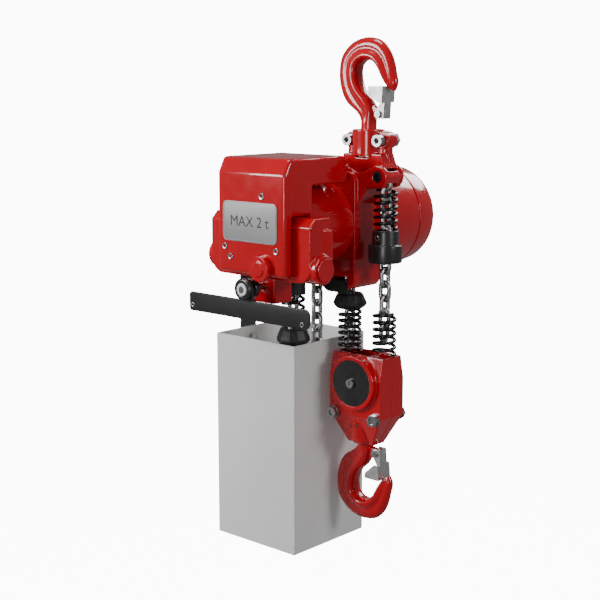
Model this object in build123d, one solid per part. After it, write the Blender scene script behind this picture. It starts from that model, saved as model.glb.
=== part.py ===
from build123d import *
import math
import os

# Compressed-air chain hoist, two falls of chain, 2 t.
# Millimetres, +Z up.  The origin is the bearing point inside the top hook, the load line
# runs down the Z axis, -Y is the side with the rating plate and +X is to its right.

# ---- driving dimensions -------------------------------------------------------------
CHAIN_D = 7.0            # wire of a chain link
CHAIN_P = 21.0           # pitch of the chain
LINK_HALF_W = 8.0        # middle of the link to the middle of its wire
POCKETS = 5              # pockets of the load wheel and of the sheave
LINKS_PER_TURN = 2 * POCKETS
FALL_X = 34.2            # each fall of chain to the load line
RUN_R = 0.5 * CHAIN_P / math.tan(math.pi / LINKS_PER_TURN)   # middle of a link on a wheel
SWEPT_R = 45.0           # the wrapped links sweep this circle

AXIS_X = -2 * FALL_X     # motor, gears and load wheel turn on one axis along Y
AXIS_Z = -245.0
SHEAVE_Z = -488.0
SLACK_X = -3 * FALL_X      # slack chain leaves the load wheel here

COVER_X = (-136.0, -1.0)
COVER_FRONT = -186.0
COVER_TOP = -139.5
COVER_LOW = -309.0
COVER_WALL = 5.0
BLOCK_X = (-168.0, 31.0)
BLOCK_Y = (-168.0, -124.0)
BLOCK_Z = (-316.0, -223.0)
PORT_Y = -146.0          # spool and ports lie along X in the middle of the block
PORT_Z = -297.0
INLET_Z = -290.0
EXHAUST = (-44.5, -298.0)
COVER_FOLD = (-174.0, -162.0)  # Y and Z where the sloping edge meets the top and the front
BRIDGE_BACK = -48.0
MOTOR_R = 64.6
MOTOR_BORE = 46.0
MOTOR_Y = (-124.0, -28.0)
CASE_X = (-133.0, -3.0)
CASE_Y = (-28.0, 36.0)
CASE_Z = (-345.0, -166.0)
DRUM_R = 86.0
DRUM_WALL = 6.0
DRUM_Y = (36.0, 112.0)
CAP_END = 176.0
SHAFT_R = 6.0            # motor shaft, runs right through the load wheel
WHEEL_HALF_W = 16.0
WHEEL_R = 35.0
HOLLOW_R = 14.0          # hollow shaft of the load wheel
BEARING_R = 26.0

BOX_X = (-230.3, -62.3)  # chain container
BOX_Y = (-99.0, 69.0)
BOX_Z = (-765.0, -430.0)
BOX_WALL = 2.5

LEVER_AXIS = (-68.4, -329.0)   # X and Z of the control lever's pivot
LEVER_Y = -193.0
TAIL = (-88.7, -71.5)    # X and Y of the slack end's anchor
BLOCK_TOP = -446.0       # hook block
HOOK_IN_R = 21.0         # inner circle of both hooks
HOOK_HALF_T = 13.5
SHANK_R = 12.0
PIVOT = (25.0, -79.0)    # X and Z of the top latch's pin

MODULE = 2.0
SUN_TEETH = 15
PLANET_TEETH = 24
RING_TEETH = SUN_TEETH + 2 * PLANET_TEETH
GEAR_Y = (64.0, 82.0)
PLANETS = 3
CARRIER_R = MODULE * (SUN_TEETH + PLANET_TEETH) / 2
VANES = 6
SPOOL_Z = -271.0


# ---- helpers ------------------------------------------------------------------------
def save(name, shape):
    """Write one node; a list of separate solids becomes one group."""
    if isinstance(shape, (list, tuple)):
        shape = Compound(children=list(shape))
    shape.label = name
    export_step(shape, f"parts/{name}.step")


def box(x, y, z):
    """A block between the limits given for each axis."""
    size = [abs(r[1] - r[0]) for r in (x, y, z)]
    mid = [(r[1] + r[0]) / 2 for r in (x, y, z)]
    return Pos(*mid) * Box(*size)


def rod_y(r, y, x=AXIS_X, z=AXIS_Z):
    """A cylinder along Y."""
    return Pos(x, (y[0] + y[1]) / 2, z) * Rot(90, 0, 0) * Cylinder(r, abs(y[1] - y[0]))


def rod_x(r, x, y, z):
    """A cylinder along X."""
    return Pos((x[0] + x[1]) / 2, y, z) * Rot(0, 90, 0) * Cylinder(r, abs(x[1] - x[0]))


def rod_z(r, z, x=0.0, y=0.0):
    """A cylinder along Z."""
    return Pos(x, y, (z[0] + z[1]) / 2) * Cylinder(r, abs(z[1] - z[0]))


def plate_y(outline, y):
    """A flat outline in X and Z, given as points, made solid between two Y."""
    face = make_face(Polyline(*[(px, 0, pz) for px, pz in outline], close=True))
    solid = extrude(face, amount=abs(y[1] - y[0]), dir=(0, 1, 0))
    return Pos(0, min(y), 0) * solid


def turned_z(profile, x=0.0, y=0.0, z=0.0):
    """A profile of radius and height turned about Z."""
    face = make_face(Polyline(*[(r, 0, h) for r, h in profile], close=True))
    return Pos(x, y, z) * revolve(face, Axis.Z)


def turned_y(profile, x=AXIS_X, z=AXIS_Z):
    """A profile of radius and Y turned about an axis along Y."""
    face = make_face(Polyline(*[(r, h, 0) for r, h in profile], close=True))
    return Pos(x, 0, z) * revolve(face, Axis.Y)


def spring(mean_r, wire_r, z, turns, x=0.0, y=0.0):
    """An open coil spring along Z between two heights of its wire's middle."""
    height = z[1] - z[0]
    path = Helix(pitch=height / turns, height=height, radius=mean_r)
    start = Plane(origin=path @ 0, z_dir=path % 0)
    return Pos(x, y, z[0]) * sweep(start * Circle(wire_r), path=path, is_frenet=True)


def link():
    """One chain link, long axis on Z, flat in XZ, its middle at the origin."""
    half = CHAIN_P / 2 + CHAIN_D / 2 - LINK_HALF_W
    wire = Pos(LINK_HALF_W, 0, 0) * Circle(CHAIN_D / 2)
    bow = revolve(wire, Axis.Y, 180)
    bow = Pos(0, 0, half) * (bow if bow.center().Z > 0 else Rot(180, 0, 0) * bow)
    side = Cylinder(CHAIN_D / 2, 2 * half)
    return bow + Rot(180, 0, 0) * bow + Pos(LINK_HALF_W, 0, 0) * side + Pos(-LINK_HALF_W, 0, 0) * side


LINK = link()


def fall(x, z_top, count, turned=0):
    """A straight run of links hanging down from z_top, the upper end of the first bow."""
    first = z_top - CHAIN_P / 2 - CHAIN_D
    return [Pos(x, 0, first - i * CHAIN_P) * Rot(0, 0, 90 * ((i + turned) % 2)) * LINK
            for i in range(count)]


def wrap(x, z, start):
    """Half a turn of links round a wheel, the first one at the angle start."""
    links = []
    for i in range(POCKETS):
        a = start + (i + 0.5) * 360 / LINKS_PER_TURN
        flat = 90 * (i % 2)
        links.append(Pos(x, 0, z) * Rot(0, -a, 0) * Pos(RUN_R, 0, 0) * Rot(0, 0, flat) * LINK)
    return links


def pocket_wheel(first_flat):
    """A grooved wheel with five pockets for the links that lie flat, at the origin."""
    half, groove = WHEEL_HALF_W, CHAIN_D / 2 + 1.2
    rim = [(HOLLOW_R, -half), (WHEEL_R, -half), (WHEEL_R, -groove), (RUN_R - 13.0, -groove),
           (RUN_R - 13.0, groove), (WHEEL_R, groove), (WHEEL_R, half), (HOLLOW_R, half)]
    wheel = turned_y(rim, 0, 0)
    floor = RUN_R - CHAIN_D / 2 - 0.4
    pocket = box((floor, WHEEL_R + 9), (-12.6, 12.6), (-19.0, 19.0))
    for i in range(POCKETS):
        wheel -= Rot(0, -(first_flat + i * 360 / POCKETS), 0) * pocket
    return wheel


def gear(teeth, y, addendum, dedendum, thinning, x=0.0, z=0.0, turn=0.0):
    """The solid of a spur gear along Y, involute flanks at 25 degrees, tooth on +X at turn 0."""
    pressure = math.radians(25)
    pitch_r = MODULE * teeth / 2
    base_r = pitch_r * math.cos(pressure)
    tip_r, root_r = pitch_r + addendum, pitch_r - dedendum
    half = math.pi / (2 * teeth) - thinning / (2 * pitch_r)

    def flank(r):
        def inv(q):
            return math.tan(q) - q
        at = math.acos(min(1.0, base_r / r))
        return half + inv(pressure) - inv(at)

    low = max(root_r, base_r)
    radii = [low + (tip_r - low) * k / 3 for k in range(4)]
    points = []
    for i in range(teeth):
        mid = 2 * math.pi * i / teeth
        side = [(root_r, flank(low))] + [(r, flank(r)) for r in radii if r > root_r + 1e-6 or low > root_r]
        for r, a in side:
            points.append((r, mid - a))
        for r, a in reversed(side):
            points.append((r, mid + a))
    outline = []
    for r, a in points:
        p = (r * math.cos(a), r * math.sin(a))
        if not outline or math.dist(p, outline[-1]) > 1e-4:
            outline.append(p)
    return Pos(x, 0, z) * Rot(0, -turn, 0) * plate_y(outline, y)


def socket_screw_y(x, z, y_head, head_r, head_h, shank_r, shank_l, way=1):
    """A cap screw along Y; its head starts at y_head and the shank goes on in the way given."""
    head = rod_y(head_r, (y_head, y_head + way * head_h), x, z)
    key = Pos(x, y_head + way * head_h * 0.27, z) * Rot(90, 0, 0) * extrude(
        RegularPolygon(head_r * 0.55, 6), amount=head_h * 0.27, both=True)
    shank = rod_y(shank_r, (y_head + way * head_h, y_head + way * (head_h + shank_l)), x, z)
    return head - key + shank


def nut_y(x, z, y, across, bore):
    """A hexagon nut along Y between two Y."""
    hexagon = Pos(x, (y[0] + y[1]) / 2, z) * Rot(90, 0, 0) * extrude(
        RegularPolygon(across / 2, 6, major_radius=False), amount=abs(y[1] - y[0]) / 2, both=True)
    return hexagon - rod_y(bore, (y[0] - 1, y[1] + 1), x, z)


def round_edges(shape, radius, axis=None):
    """Round the edges along one axis, or all of them."""
    edges = shape.edges() if axis is None else shape.edges().filter_by(axis)
    return fillet(edges, radius)


os.makedirs("parts", exist_ok=True)

# ---- top hook -----------------------------------------------------------------------
# Forged hook: a bowl round the load line, a point that closes the mouth and a round shank.
# The same outline serves both hooks; it is drawn for the top one, mouth towards +X.
def hook_solid(shank_end):
    bowl_z = -HOOK_IN_R
    with BuildSketch(Plane.XZ) as outline:
        with BuildLine():
            left = ThreePointArc((-13.5, -78), (-26, -66), (-47, -45))
            outer = ThreePointArc(left @ 1, (-38, 16), (2, 34))
            crown = ThreePointArc(outer @ 1, (42, 17), (55, -24))
            tip = ThreePointArc(crown @ 1, (51, -43), (40, -36))
            mouth = ThreePointArc(tip @ 1, (33, -22), (HOOK_IN_R * 0.8, bowl_z + HOOK_IN_R * 0.6))
            bowl = ThreePointArc(mouth @ 1, (0, 0), (-HOOK_IN_R * 0.8, bowl_z + HOOK_IN_R * 0.6))
            limb = ThreePointArc(bowl @ 1, (-20, -34), (-4, -52))
            neck = ThreePointArc(limb @ 1, (10, -64), (13.5, -78))
            Line(neck @ 1, left @ 0)
        make_face()
    body = extrude(outline.sketch, amount=HOOK_HALF_T, both=True)
    shank = rod_z(SHANK_R, (shank_end, -74))
    ears = box((10, PIVOT[0]), (-5, 5), (-86, -70)) + rod_y(5, (-5, 5), *PIVOT)
    ears -= rod_y(3.05, (-9, 9), *PIVOT)
    return body + shank + ears


def latch_solid():
    """Sheet latch: a web across the mouth, wide cheeks beside the bowl, narrow ones on the pivot."""
    web = plate_y([(32.5, -86), (34, -86), (35.5, -62), (34, -62)], (-8.6, 8.6))
    web += plate_y([(34, -62), (35.5, -62), (37.5, -38), (36, -38)], (-15.3, 15.3))
    pieces = web
    for s in (-1, 1):
        pieces += plate_y([(36, -38), (34, -62), (28, -62), (10, -46), (10, -38)], (s * 13.8, s * 15.3))
        pieces += plate_y([(34.2, -60), (32.7, -86), (20, -86), (20, -74), (29, -60)], (s * 7.1, s * 8.6))
    return pieces - rod_y(3.05, (-12, 12), *PIVOT)


def latch_pin_solid():
    """Through bolt of the latch with its head and nut outside the cheeks."""
    pin = rod_y(3.0, (-8.8, 8.8), *PIVOT)
    return pin + rod_y(5.2, (-12.5, -8.8), *PIVOT) + nut_y(*PIVOT, (8.8, 12.3), 10, 0.1)


SHANK_END = -146.0
NUT_Z = (-142.0, -128.0)
BEARING_Z = (-128.0, -120.0)
top_hook = hook_solid(SHANK_END)
save("top_hook", top_hook)
latch = latch_solid()
save("top_latch", latch)
save("top_latch_pin", latch_pin_solid())
hook_nut = turned_z([(SHANK_R, NUT_Z[0]), (19, NUT_Z[0]), (19, NUT_Z[1] - 0.2), (SHANK_R, NUT_Z[1] - 0.2)])
save("top_hook_nut", hook_nut)
bearing_rings = turned_z([(12.4, BEARING_Z[0]), (19.5, BEARING_Z[0]), (19.5, BEARING_Z[1]),
                          (12.4, BEARING_Z[1])])

# ---- hanger: two halves clamped round the hook's shank --------------------------------
SCREW_X = 29.0
SCREW_Z = -118.0
LUG_Z = -171.0
LUG_R = 17.5
ARM_HALF_T = 15.7
PIN_R = 8.0
ANCHOR_R = 4.2           # the chain's last link hangs on this part of its pin
collar = rod_z(24.5, (-141, -102)) + box((-24.5, 24.5), (0, 20), (-141, -104))
lugs = [rod_y(12.5, (-6, 18), s * SCREW_X, SCREW_Z) for s in (-1, 1)]
ribs = [rod_z(11, (-160, SCREW_Z), s * SCREW_X, 4.5) for s in (-1, 1)]
foot_outline = [(-40, -150), (-52, -171), (-44, -188), (-24, -188), (-14, -176), (14, -176),
                (24, -188), (44, -188), (52, -171), (40, -150), (36, -138), (-36, -138)]
foot = plate_y(foot_outline, (-ARM_HALF_T, ARM_HALF_T))
hanger = collar + lugs[0] + lugs[1] + ribs[0] + ribs[1] + foot
nut_room = rod_z(19.8, (-144, BEARING_Z[1] + 0.2)) + rod_z(SHANK_R + 0.05, (-160, -90))
link_room = box((FALL_X - 12.5, FALL_X + 12.5), (-12, 12), (-200, -158.5))
screw_holes = rod_y(6.2, (-30, 30), SCREW_X, SCREW_Z) + rod_y(6.2, (-30, 30), -SCREW_X, SCREW_Z)
for s in (-1, 1):
    screw_holes += rod_y(9.3, (-40, -6), s * SCREW_X, SCREW_Z) + rod_y(11.5, (18, 40), s * SCREW_X, SCREW_Z)
pin_holes = rod_y(PIN_R, (-40, 40), FALL_X, LUG_Z) + rod_y(PIN_R, (-40, 40), -FALL_X, LUG_Z)
hanger = hanger - nut_room - link_room - screw_holes - pin_holes
for name, y in (("hanger_front", (-60, 0)), ("hanger_rear", (0, 60))):
    save(name, hanger & box((-90, 90), y, (-220, -90)))
fasteners = []
for s in (-1, 1):
    fasteners.append(socket_screw_y(s * SCREW_X, SCREW_Z, -18, 9, 12, 6.0, 34))
    fasteners.append(nut_y(s * SCREW_X, SCREW_Z, (18, 27), 19, 6.0))

# ---- central casing: holds the load wheel, carries the whole hoist on two pins ---------
case = box(CASE_X, CASE_Y, CASE_Z)
case = fillet(case.edges().filter_by(Axis.Y), 14)
arm_outline = [(-52, LUG_Z), (-FALL_X, -160), (FALL_X, -160), (51, LUG_Z), (45, -187), (14, -189),
               (-3, -215), (-52, -215)]
arm = plate_y(arm_outline, (-22, 22))
for s in (-1, 1):
    arm += rod_y(LUG_R, (-22, 22), s * FALL_X, LUG_Z)
arm -= rod_y(24, (-23, 23), 0, -142)
slot = box((-60, 60), (-ARM_HALF_T, ARM_HALF_T), (-189, -130))
arm -= slot
case = case + arm - box((-60, 60), (-ARM_HALF_T, ARM_HALF_T), (-189, -150))
case -= rod_y(SWEPT_R + 4, (-WHEEL_HALF_W - 1, WHEEL_HALF_W + 1))
for x in (SLACK_X, -FALL_X):
    case -= box((x - 13.5, x + 13.5), (-13.5, 13.5), (CASE_Z[0] - 1, AXIS_Z))
case -= box((-86, -17), (CASE_Y[0] - 1, CASE_Y[1] - 14), (CASE_Z[0] - 1, -326))
case -= rod_y(BEARING_R, (CASE_Y[0] - 1, CASE_Y[1] + 1))
case -= pin_holes
save("central_casing", case)
PIN_LEN = 22.0
pin = rod_y(PIN_R, (-PIN_LEN, PIN_LEN), -FALL_X, LUG_Z)
anchor = rod_y(PIN_R, (-PIN_LEN, -12.5), FALL_X, LUG_Z) + rod_y(PIN_R, (12.5, PIN_LEN), FALL_X, LUG_Z)
anchor += rod_y(ANCHOR_R, (-13, 13), FALL_X, LUG_Z)
socket = box((FALL_X - 5, FALL_X + 5), (-PIN_LEN - 1, -PIN_LEN + 7), (LUG_Z - 5, LUG_Z + 5))
anchor -= round_edges(socket, 2, Axis.Y)

# ---- load wheel, its bearings and the links round it ----------------------------------
wheel = Pos(AXIS_X, 0, AXIS_Z) * pocket_wheel(54)
hollow = rod_y(HOLLOW_R, (CASE_Y[0] + 1, 58)) - rod_y(SHAFT_R + 1.5, (-60, 80))
wheel = wheel + hollow - rod_y(SHAFT_R + 1.5, (-60, 80))
save("load_wheel", wheel)
bearings = []
for y in ((-27, -17.5), (17.5, 27)):
    bearings.append(rod_y(BEARING_R, y) - rod_y(HOLLOW_R + 0.05, (-60, 60)))
save("wheel_chain", wrap(AXIS_X, AXIS_Z, 0))

# ---- rear drum: planetary gear, then the brake under the end cap -----------------------
DRUM_EYE_R = 30.0
drum = turned_y([(DRUM_EYE_R, DRUM_Y[0]), (DRUM_R, DRUM_Y[0]), (DRUM_R, DRUM_Y[1]),
                 (DRUM_R - DRUM_WALL, DRUM_Y[1]), (DRUM_R - DRUM_WALL, DRUM_Y[0] + DRUM_WALL),
                 (DRUM_EYE_R, DRUM_Y[0] + DRUM_WALL)])
save("gear_housing", drum)
CAP_STEP = 84.0
with BuildSketch() as cap_profile:
    with BuildLine():
        skin = ThreePointArc((CAP_STEP, DRUM_Y[1]), (79, 146), (62, CAP_END - 3))
        Polyline(skin @ 1, (54, CAP_END), (0, CAP_END), (0, CAP_END - 6), (52, CAP_END - 6),
                 (58, CAP_END - 9))
        inside = ThreePointArc((58, CAP_END - 9), (73, 146), (CAP_STEP - 6, DRUM_Y[1]))
        Line(inside @ 1, skin @ 0)
    make_face()
save("end_cap", Pos(AXIS_X, 0, AXIS_Z) * revolve(cap_profile.sketch, Axis.Y))
ring_inner = gear(RING_TEETH, (GEAR_Y[0] - 1, GEAR_Y[1] + 1), 0.8 * MODULE + 0.9, 0.8 * MODULE, -0.25,
                  AXIS_X, AXIS_Z, 180 / RING_TEETH)
ring = rod_y(DRUM_R - DRUM_WALL, GEAR_Y) - ring_inner
save("ring_gear", ring)
sun = gear(SUN_TEETH, GEAR_Y, 0.8 * MODULE, 1.1 * MODULE, 0.12, AXIS_X, AXIS_Z)
sun = sun - rod_y(SHAFT_R, (50, 100))
save("sun_gear", sun)
carrier = rod_y(54, (50, 58)) - rod_y(HOLLOW_R, (40, 70))
for i in range(PLANETS):
    a = 2 * math.pi * i / PLANETS
    px, pz = AXIS_X + CARRIER_R * math.cos(a), AXIS_Z + CARRIER_R * math.sin(a)
    carrier += rod_y(7, (58, GEAR_Y[1] + 3), px, pz)
    # half a tooth round, so that a gap meets the sun's tooth and the ring's
    planet = gear(PLANET_TEETH, GEAR_Y, 0.8 * MODULE, 1.1 * MODULE, 0.12, px, pz, 180 / PLANET_TEETH)
    save(f"planet_gear_{i + 1}", planet - rod_y(7.05, (50, 100), px, pz))
save("planet_carrier", carrier)

# ---- air motor: rotor with vanes on a shaft that runs back to the sun and the brake ----
LINER_R = 38.0
LINER_OFF = 3.0
ROTOR_R = 33.5
ROTOR_Y = (-108.0, -44.0)
shell = rod_y(MOTOR_R, MOTOR_Y) - rod_y(MOTOR_BORE, (MOTOR_Y[0] - 1, MOTOR_Y[1] + 1))
save("motor_housing", shell)
liner = rod_y(MOTOR_BORE, ROTOR_Y) - rod_y(LINER_R, (-130, -20), AXIS_X, AXIS_Z + LINER_OFF)
plates = []
for y in ((-118, ROTOR_Y[0]), (ROTOR_Y[1], -34)):
    plates.append(rod_y(MOTOR_BORE, y) - rod_y(14, (-130, -20)))
save("motor_stator", [liner] + plates)
ball_rings = [rod_y(14, (y, y + 9)) - rod_y(SHAFT_R + 0.05, (-130, 180)) for y in (-117.5, -43.5)]
rotor = rod_y(ROTOR_R, (ROTOR_Y[0] + 0.3, ROTOR_Y[1] - 0.3)) + rod_y(SHAFT_R, (-118, 146))
vane_slot = box((16, ROTOR_R + 2), ROTOR_Y, (-1.5, 1.5))
vane = box((18, ROTOR_R), (ROTOR_Y[0] + 0.5, ROTOR_Y[1] - 0.5), (-1.5, 1.5))
vanes = []
for i in range(VANES):
    place = Pos(AXIS_X, 0, AXIS_Z) * Rot(0, 360 * i / VANES, 0)
    rotor -= place * vane_slot
    vanes.append(place * vane)
save("rotor", [rotor] + vanes)
save("hoist_bearings", [bearing_rings] + bearings + ball_rings)

BRAKE_Y = 124.0
save("brake_disc", rod_y(48, (BRAKE_Y, BRAKE_Y + 5)) - rod_y(SHAFT_R, (100, 150)))
brake_plates = [rod_y(CAP_STEP - 14, y) - rod_y(SHAFT_R + 2, (100, 160))
                for y in ((BRAKE_Y - 6, BRAKE_Y - 0.3), (BRAKE_Y + 5.3, BRAKE_Y + 13))]
brake_springs = []
for i in range(6):
    a = 2 * math.pi * i / 6
    x, z = AXIS_X + 38 * math.cos(a), AXIS_Z + 38 * math.sin(a)
    coil = Pos(x, BRAKE_Y + 14, z) * Rot(-90, 0, 0) * spring(5, 0.9, (0, 30), 6)
    brake_springs.append(coil)
save("brake_pack", brake_plates + brake_springs)

# ---- valve block with its ears, front cover and bridge --------------------------------
block = box(BLOCK_X, BLOCK_Y, BLOCK_Z)
block = fillet(block.edges().filter_by(Axis.Y).sort_by(Axis.Z)[:2], 22)
block = chamfer(block.edges().filter_by(Axis.X).group_by(Axis.Z)[-1].sort_by(Axis.Y)[:1], 12)
block += box((-128, -9), (BLOCK_Y[0] + 0.5, BLOCK_Y[1]), (BLOCK_Z[1], -150))
wedge = make_face(Polyline((BLOCK_X[1], -142, 0), (37, -130, 0), (37, BLOCK_Y[1], 0),
                           (BLOCK_X[1], BLOCK_Y[1], 0), close=True))
block += Pos(0, 0, -300) * extrude(wedge, amount=60, dir=(0, 0, 1))
block += rod_x(21, (20, 40), PORT_Y, PORT_Z)
block += rod_x(21, (-177, -160), PORT_Y, INLET_Z)
block -= rod_x(9.3, (-178, -150), PORT_Y, INLET_Z)
block -= rod_y(5.6, (-169, -120), LEVER_AXIS[0], LEVER_AXIS[1] + 40)
spool_bore = rod_x(10.05, (-130, -6), PORT_Y, SPOOL_Z)
block -= spool_bore
save("valve_block", block)
cover = box(COVER_X, (COVER_FRONT, BLOCK_Y[0]), (COVER_LOW, COVER_TOP))
cover += box(COVER_X, (BLOCK_Y[0], BLOCK_Y[1]), (BLOCK_Z[1] + 0.5, COVER_TOP))
cover += box(COVER_X, (BLOCK_Y[1], BRIDGE_BACK), (-180, COVER_TOP))
cover = fillet(cover.edges().filter_by(Axis.Z).group_by(Axis.Y)[0], 7)
slope = make_face(Polyline((0, COVER_FRONT - 1, COVER_FOLD[1]), (0, COVER_FOLD[0], COVER_TOP),
                           (0, COVER_FOLD[0], COVER_TOP + 10), (0, COVER_FRONT - 1, COVER_TOP + 10),
                           close=True))
cover -= Pos(-150, 0, 0) * extrude(slope, amount=170, dir=(1, 0, 0))
inner_x = (COVER_X[0] + COVER_WALL, COVER_X[1] - COVER_WALL)
inner = box(inner_x, (BLOCK_Y[0], BRIDGE_BACK - 5), (-180, COVER_TOP - 7)) + box(inner_x, BLOCK_Y, (-240, -150))
cover = cover - inner - rod_y(MOTOR_R, (BLOCK_Y[1] - 1, -20))
PLATE_X, PLATE_Z = (-124.5, -15.6), (-262.0, -203.0)
screw_spots = [(-45.8, -193.6), (-121.2, -271), (-109.6, -285.5), (-17.7, -270.9)]
for x, z in screw_spots:
    cover -= rod_y(5.4, (COVER_FRONT - 1, COVER_FRONT + 6), x, z)
save("front_cover", cover)
plate = round_edges(box(PLATE_X, (COVER_FRONT - 1.5, COVER_FRONT), PLATE_Z), 8, Axis.Y)
save("rating_plate", plate)
cover_screws = []
for x, z in screw_spots:
    head = rod_y(5.0, (COVER_FRONT + 1, COVER_FRONT + 6), x, z)
    cover_screws.append(head - rod_y(2.4, (COVER_FRONT, COVER_FRONT + 4), x, z))
save("cover_screws", cover_screws)
front_disc = rod_y(18.5, (-196, COVER_FRONT), *EXHAUST) + rod_y(11, (-198, -196), *EXHAUST)
save("port_caps", [front_disc, rod_x(17, (40, 43), PORT_Y, PORT_Z)])

# ---- control: spool, shaft, lever bar for the two pull cords ---------------------------
VALVE_Y = (-160.0, -120.0)
VALVE_Z = (-354.0, -316.0)
housing = round_edges(box((-91.5, -45.3), VALVE_Y, VALVE_Z), 5, Axis.Z)
housing -= rod_y(5.55, (-170, -128), *LEVER_AXIS)
save("control_valve", housing)
shaft = rod_y(5.5, (-206.5, -128.5), *LEVER_AXIS)
save("control_shaft", shaft)
spool = rod_x(10, (-118, -18), PORT_Y, SPOOL_Z)
for x in (-100, -68, -36):
    spool -= rod_x(10.5, (x - 6, x + 6), PORT_Y, SPOOL_Z) - rod_x(6, (x - 6, x + 6), PORT_Y, SPOOL_Z)
save("valve_spool", spool)
bar = plate_y([(-190.5, -346), (-190.5, -375), (46, -375), (53, -368), (53, -353), (46, -346),
               (LEVER_AXIS[0] + 12, -346), (LEVER_AXIS[0] + 12, -331), (LEVER_AXIS[0] - 12, -331),
               (LEVER_AXIS[0] - 12, -346)], (LEVER_Y - 2, LEVER_Y + 2))
bar += rod_y(12, (LEVER_Y - 2, LEVER_Y + 2), *LEVER_AXIS)
cord_holes = [(-183, -366), (40, -368.5)]
for x, z in cord_holes:
    bar -= rod_y(3.5, (-220, -180), x, z)
bar -= rod_y(5.5, (-220, -180), *LEVER_AXIS)
eyelet = [(2.2, LEVER_Y - 2.8), (3.5, LEVER_Y - 2.8), (3.5, LEVER_Y + 2.8), (2.2, LEVER_Y + 2.8)]
eyelets = [turned_y(eyelet, x, z) for x, z in cord_holes]
save("control_lever", [bar] + eyelets)
knob = rod_y(16.5, (-205, LEVER_Y - 2), *LEVER_AXIS) + rod_y(16.5, (LEVER_Y + 2, -180.5), *LEVER_AXIS)
knob -= rod_y(5.5, (-210, -170), *LEVER_AXIS)
knob -= rod_y(9.3, (-206, -203.5), *LEVER_AXIS)
cap = rod_y(9.3, (-205.4, -203.5), *LEVER_AXIS) - rod_y(5.5, (-210, -170), *LEVER_AXIS)
save("lever_knob", list(knob.solids()) + [cap])

# ---- slack end's anchor: tube, spring and bumper round the tail of the chain -----------
tube = turned_z([(13.5, -354), (19, -354), (19, -295), (13.5, -295)], *TAIL)
tube = (tube - rod_y(MOTOR_R, MOTOR_Y)).solids().sort_by(Axis.Z)[0]
save("tail_anchor", tube)
COIL_R, COIL_WIRE = 16.2, 2.6
tail_coil = spring(COIL_R, COIL_WIRE, (-403, -357.5), 3.5, *TAIL)


def bumper_solid(low, high, x, y, hole):
    """A rubber stop: a barrel, widest in its lower third, with a hole for the chain."""
    h = high - low
    profile = [(hole, low), (20.5, low), (24.5, low + 0.16 * h), (26.5, low + 0.42 * h),
               (24.5, low + 0.72 * h), (19, high), (hole, high)]
    return turned_z(profile, x, y)


save("tail_bumper", bumper_solid(-433, -407, *TAIL, 12.5))

# ---- live side: limit lever, bumper and spring standing on the hook block --------------
LIMIT_AXIS_X = -66.0
LIMIT_AXIS_Z = -339.0
limit = plate_y([(-72, -335), (-62, -333.5), (-22, -333.5), (-20, -352.5), (-60, -352.5), (-72, -345)],
                (-24, -14))
limit -= rod_y(3.05, (-30, 0), LIMIT_AXIS_X, LIMIT_AXIS_Z)
save("limit_lever", limit)
limit_pin = rod_y(3.0, (-27.5, 22), LIMIT_AXIS_X, LIMIT_AXIS_Z)
save("hoist_pins", [pin, anchor, limit_pin])
BUMPER_Z = (-378.5, -355.0)
save("live_bumper", bumper_solid(*BUMPER_Z, -FALL_X, 0, 12.5))
COIL_FOOT = BLOCK_TOP + COIL_WIRE + 0.1
save("live_spring", spring(COIL_R, COIL_WIRE, (COIL_FOOT, BUMPER_Z[0] - COIL_WIRE - 0.2), 6.5, -FALL_X))
save("dead_lower_spring", spring(COIL_R, COIL_WIRE, (COIL_FOOT, -379), 6, FALL_X))

# ---- dead side: buffer spring under the anchor and the stop collar ----------------------
COLLAR_Z = (-301.0, -274.0, -252.0)
dead_coil = spring(COIL_R, COIL_WIRE, (COLLAR_Z[2] + COIL_WIRE + 0.1, -189.5 - COIL_WIRE), 5.5, FALL_X)
save("buffer_springs", [tail_coil, dead_coil])
collar_profile = [(12.5, COLLAR_Z[0]), (25.5, COLLAR_Z[0]), (25.5, COLLAR_Z[1]), (20, COLLAR_Z[1]),
                  (20, COLLAR_Z[2]), (12.5, COLLAR_Z[2])]
stop = turned_z(collar_profile, FALL_X)
SET_Z = -263.0
stop -= rod_y(4.0, (-30, -13), FALL_X, SET_Z)
save("stop_collar", stop)
set_screw = (rod_y(4.0, (-21, -13), FALL_X, SET_Z) - rod_y(1.9, (-22, -18), FALL_X, SET_Z))

# ---- load chain ---------------------------------------------------------------------
dead = fall(FALL_X, LUG_Z + ANCHOR_R + CHAIN_D + 0.1, 12)
live = fall(-FALL_X, -288, 7, 1)
save("fall_chain", dead + live)
slack = fall(SLACK_X, -288, 19, 1)
tail = [Pos(0, TAIL[1], 0) * piece for piece in fall(TAIL[0], -312, 18, 1)]
save("slack_chain", slack + tail)
heap = Pos(-143, -15, BOX_Z[0] + BOX_WALL + 26) * Box(140, 140, 52)
save("stored_chain", fillet(heap.edges().filter_by(Axis.Z), 12))

# ---- chain container and its bracket -------------------------------------------------
bin_solid = box(BOX_X, BOX_Y, BOX_Z)
bin_solid -= box((BOX_X[0] + BOX_WALL, BOX_X[1] - BOX_WALL), (BOX_Y[0] + BOX_WALL, BOX_Y[1] - BOX_WALL),
                 (BOX_Z[0] + BOX_WALL, BOX_Z[1] + 1))
BRACKET_Y = (-41.0, -8.0)
bolt_y = (BRACKET_Y[0] + BRACKET_Y[1]) / 2 + 5
BOLT_Z = -449.0
bin_solid -= rod_x(4.2, (BOX_X[0] - 1, BOX_X[0] + 4), bolt_y, BOLT_Z)
save("chain_container", bin_solid)
BRACKET_T = 4.0
bracket = box((BOX_X[0] - BRACKET_T, BOX_X[0]), BRACKET_Y, (-466, -338))
bracket += box((BOX_X[0] - BRACKET_T, CASE_X[0]), BRACKET_Y, (-342, -338))
bracket += box((CASE_X[0] - BRACKET_T, CASE_X[0]), (-26, -8), (-342, -300))
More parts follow.
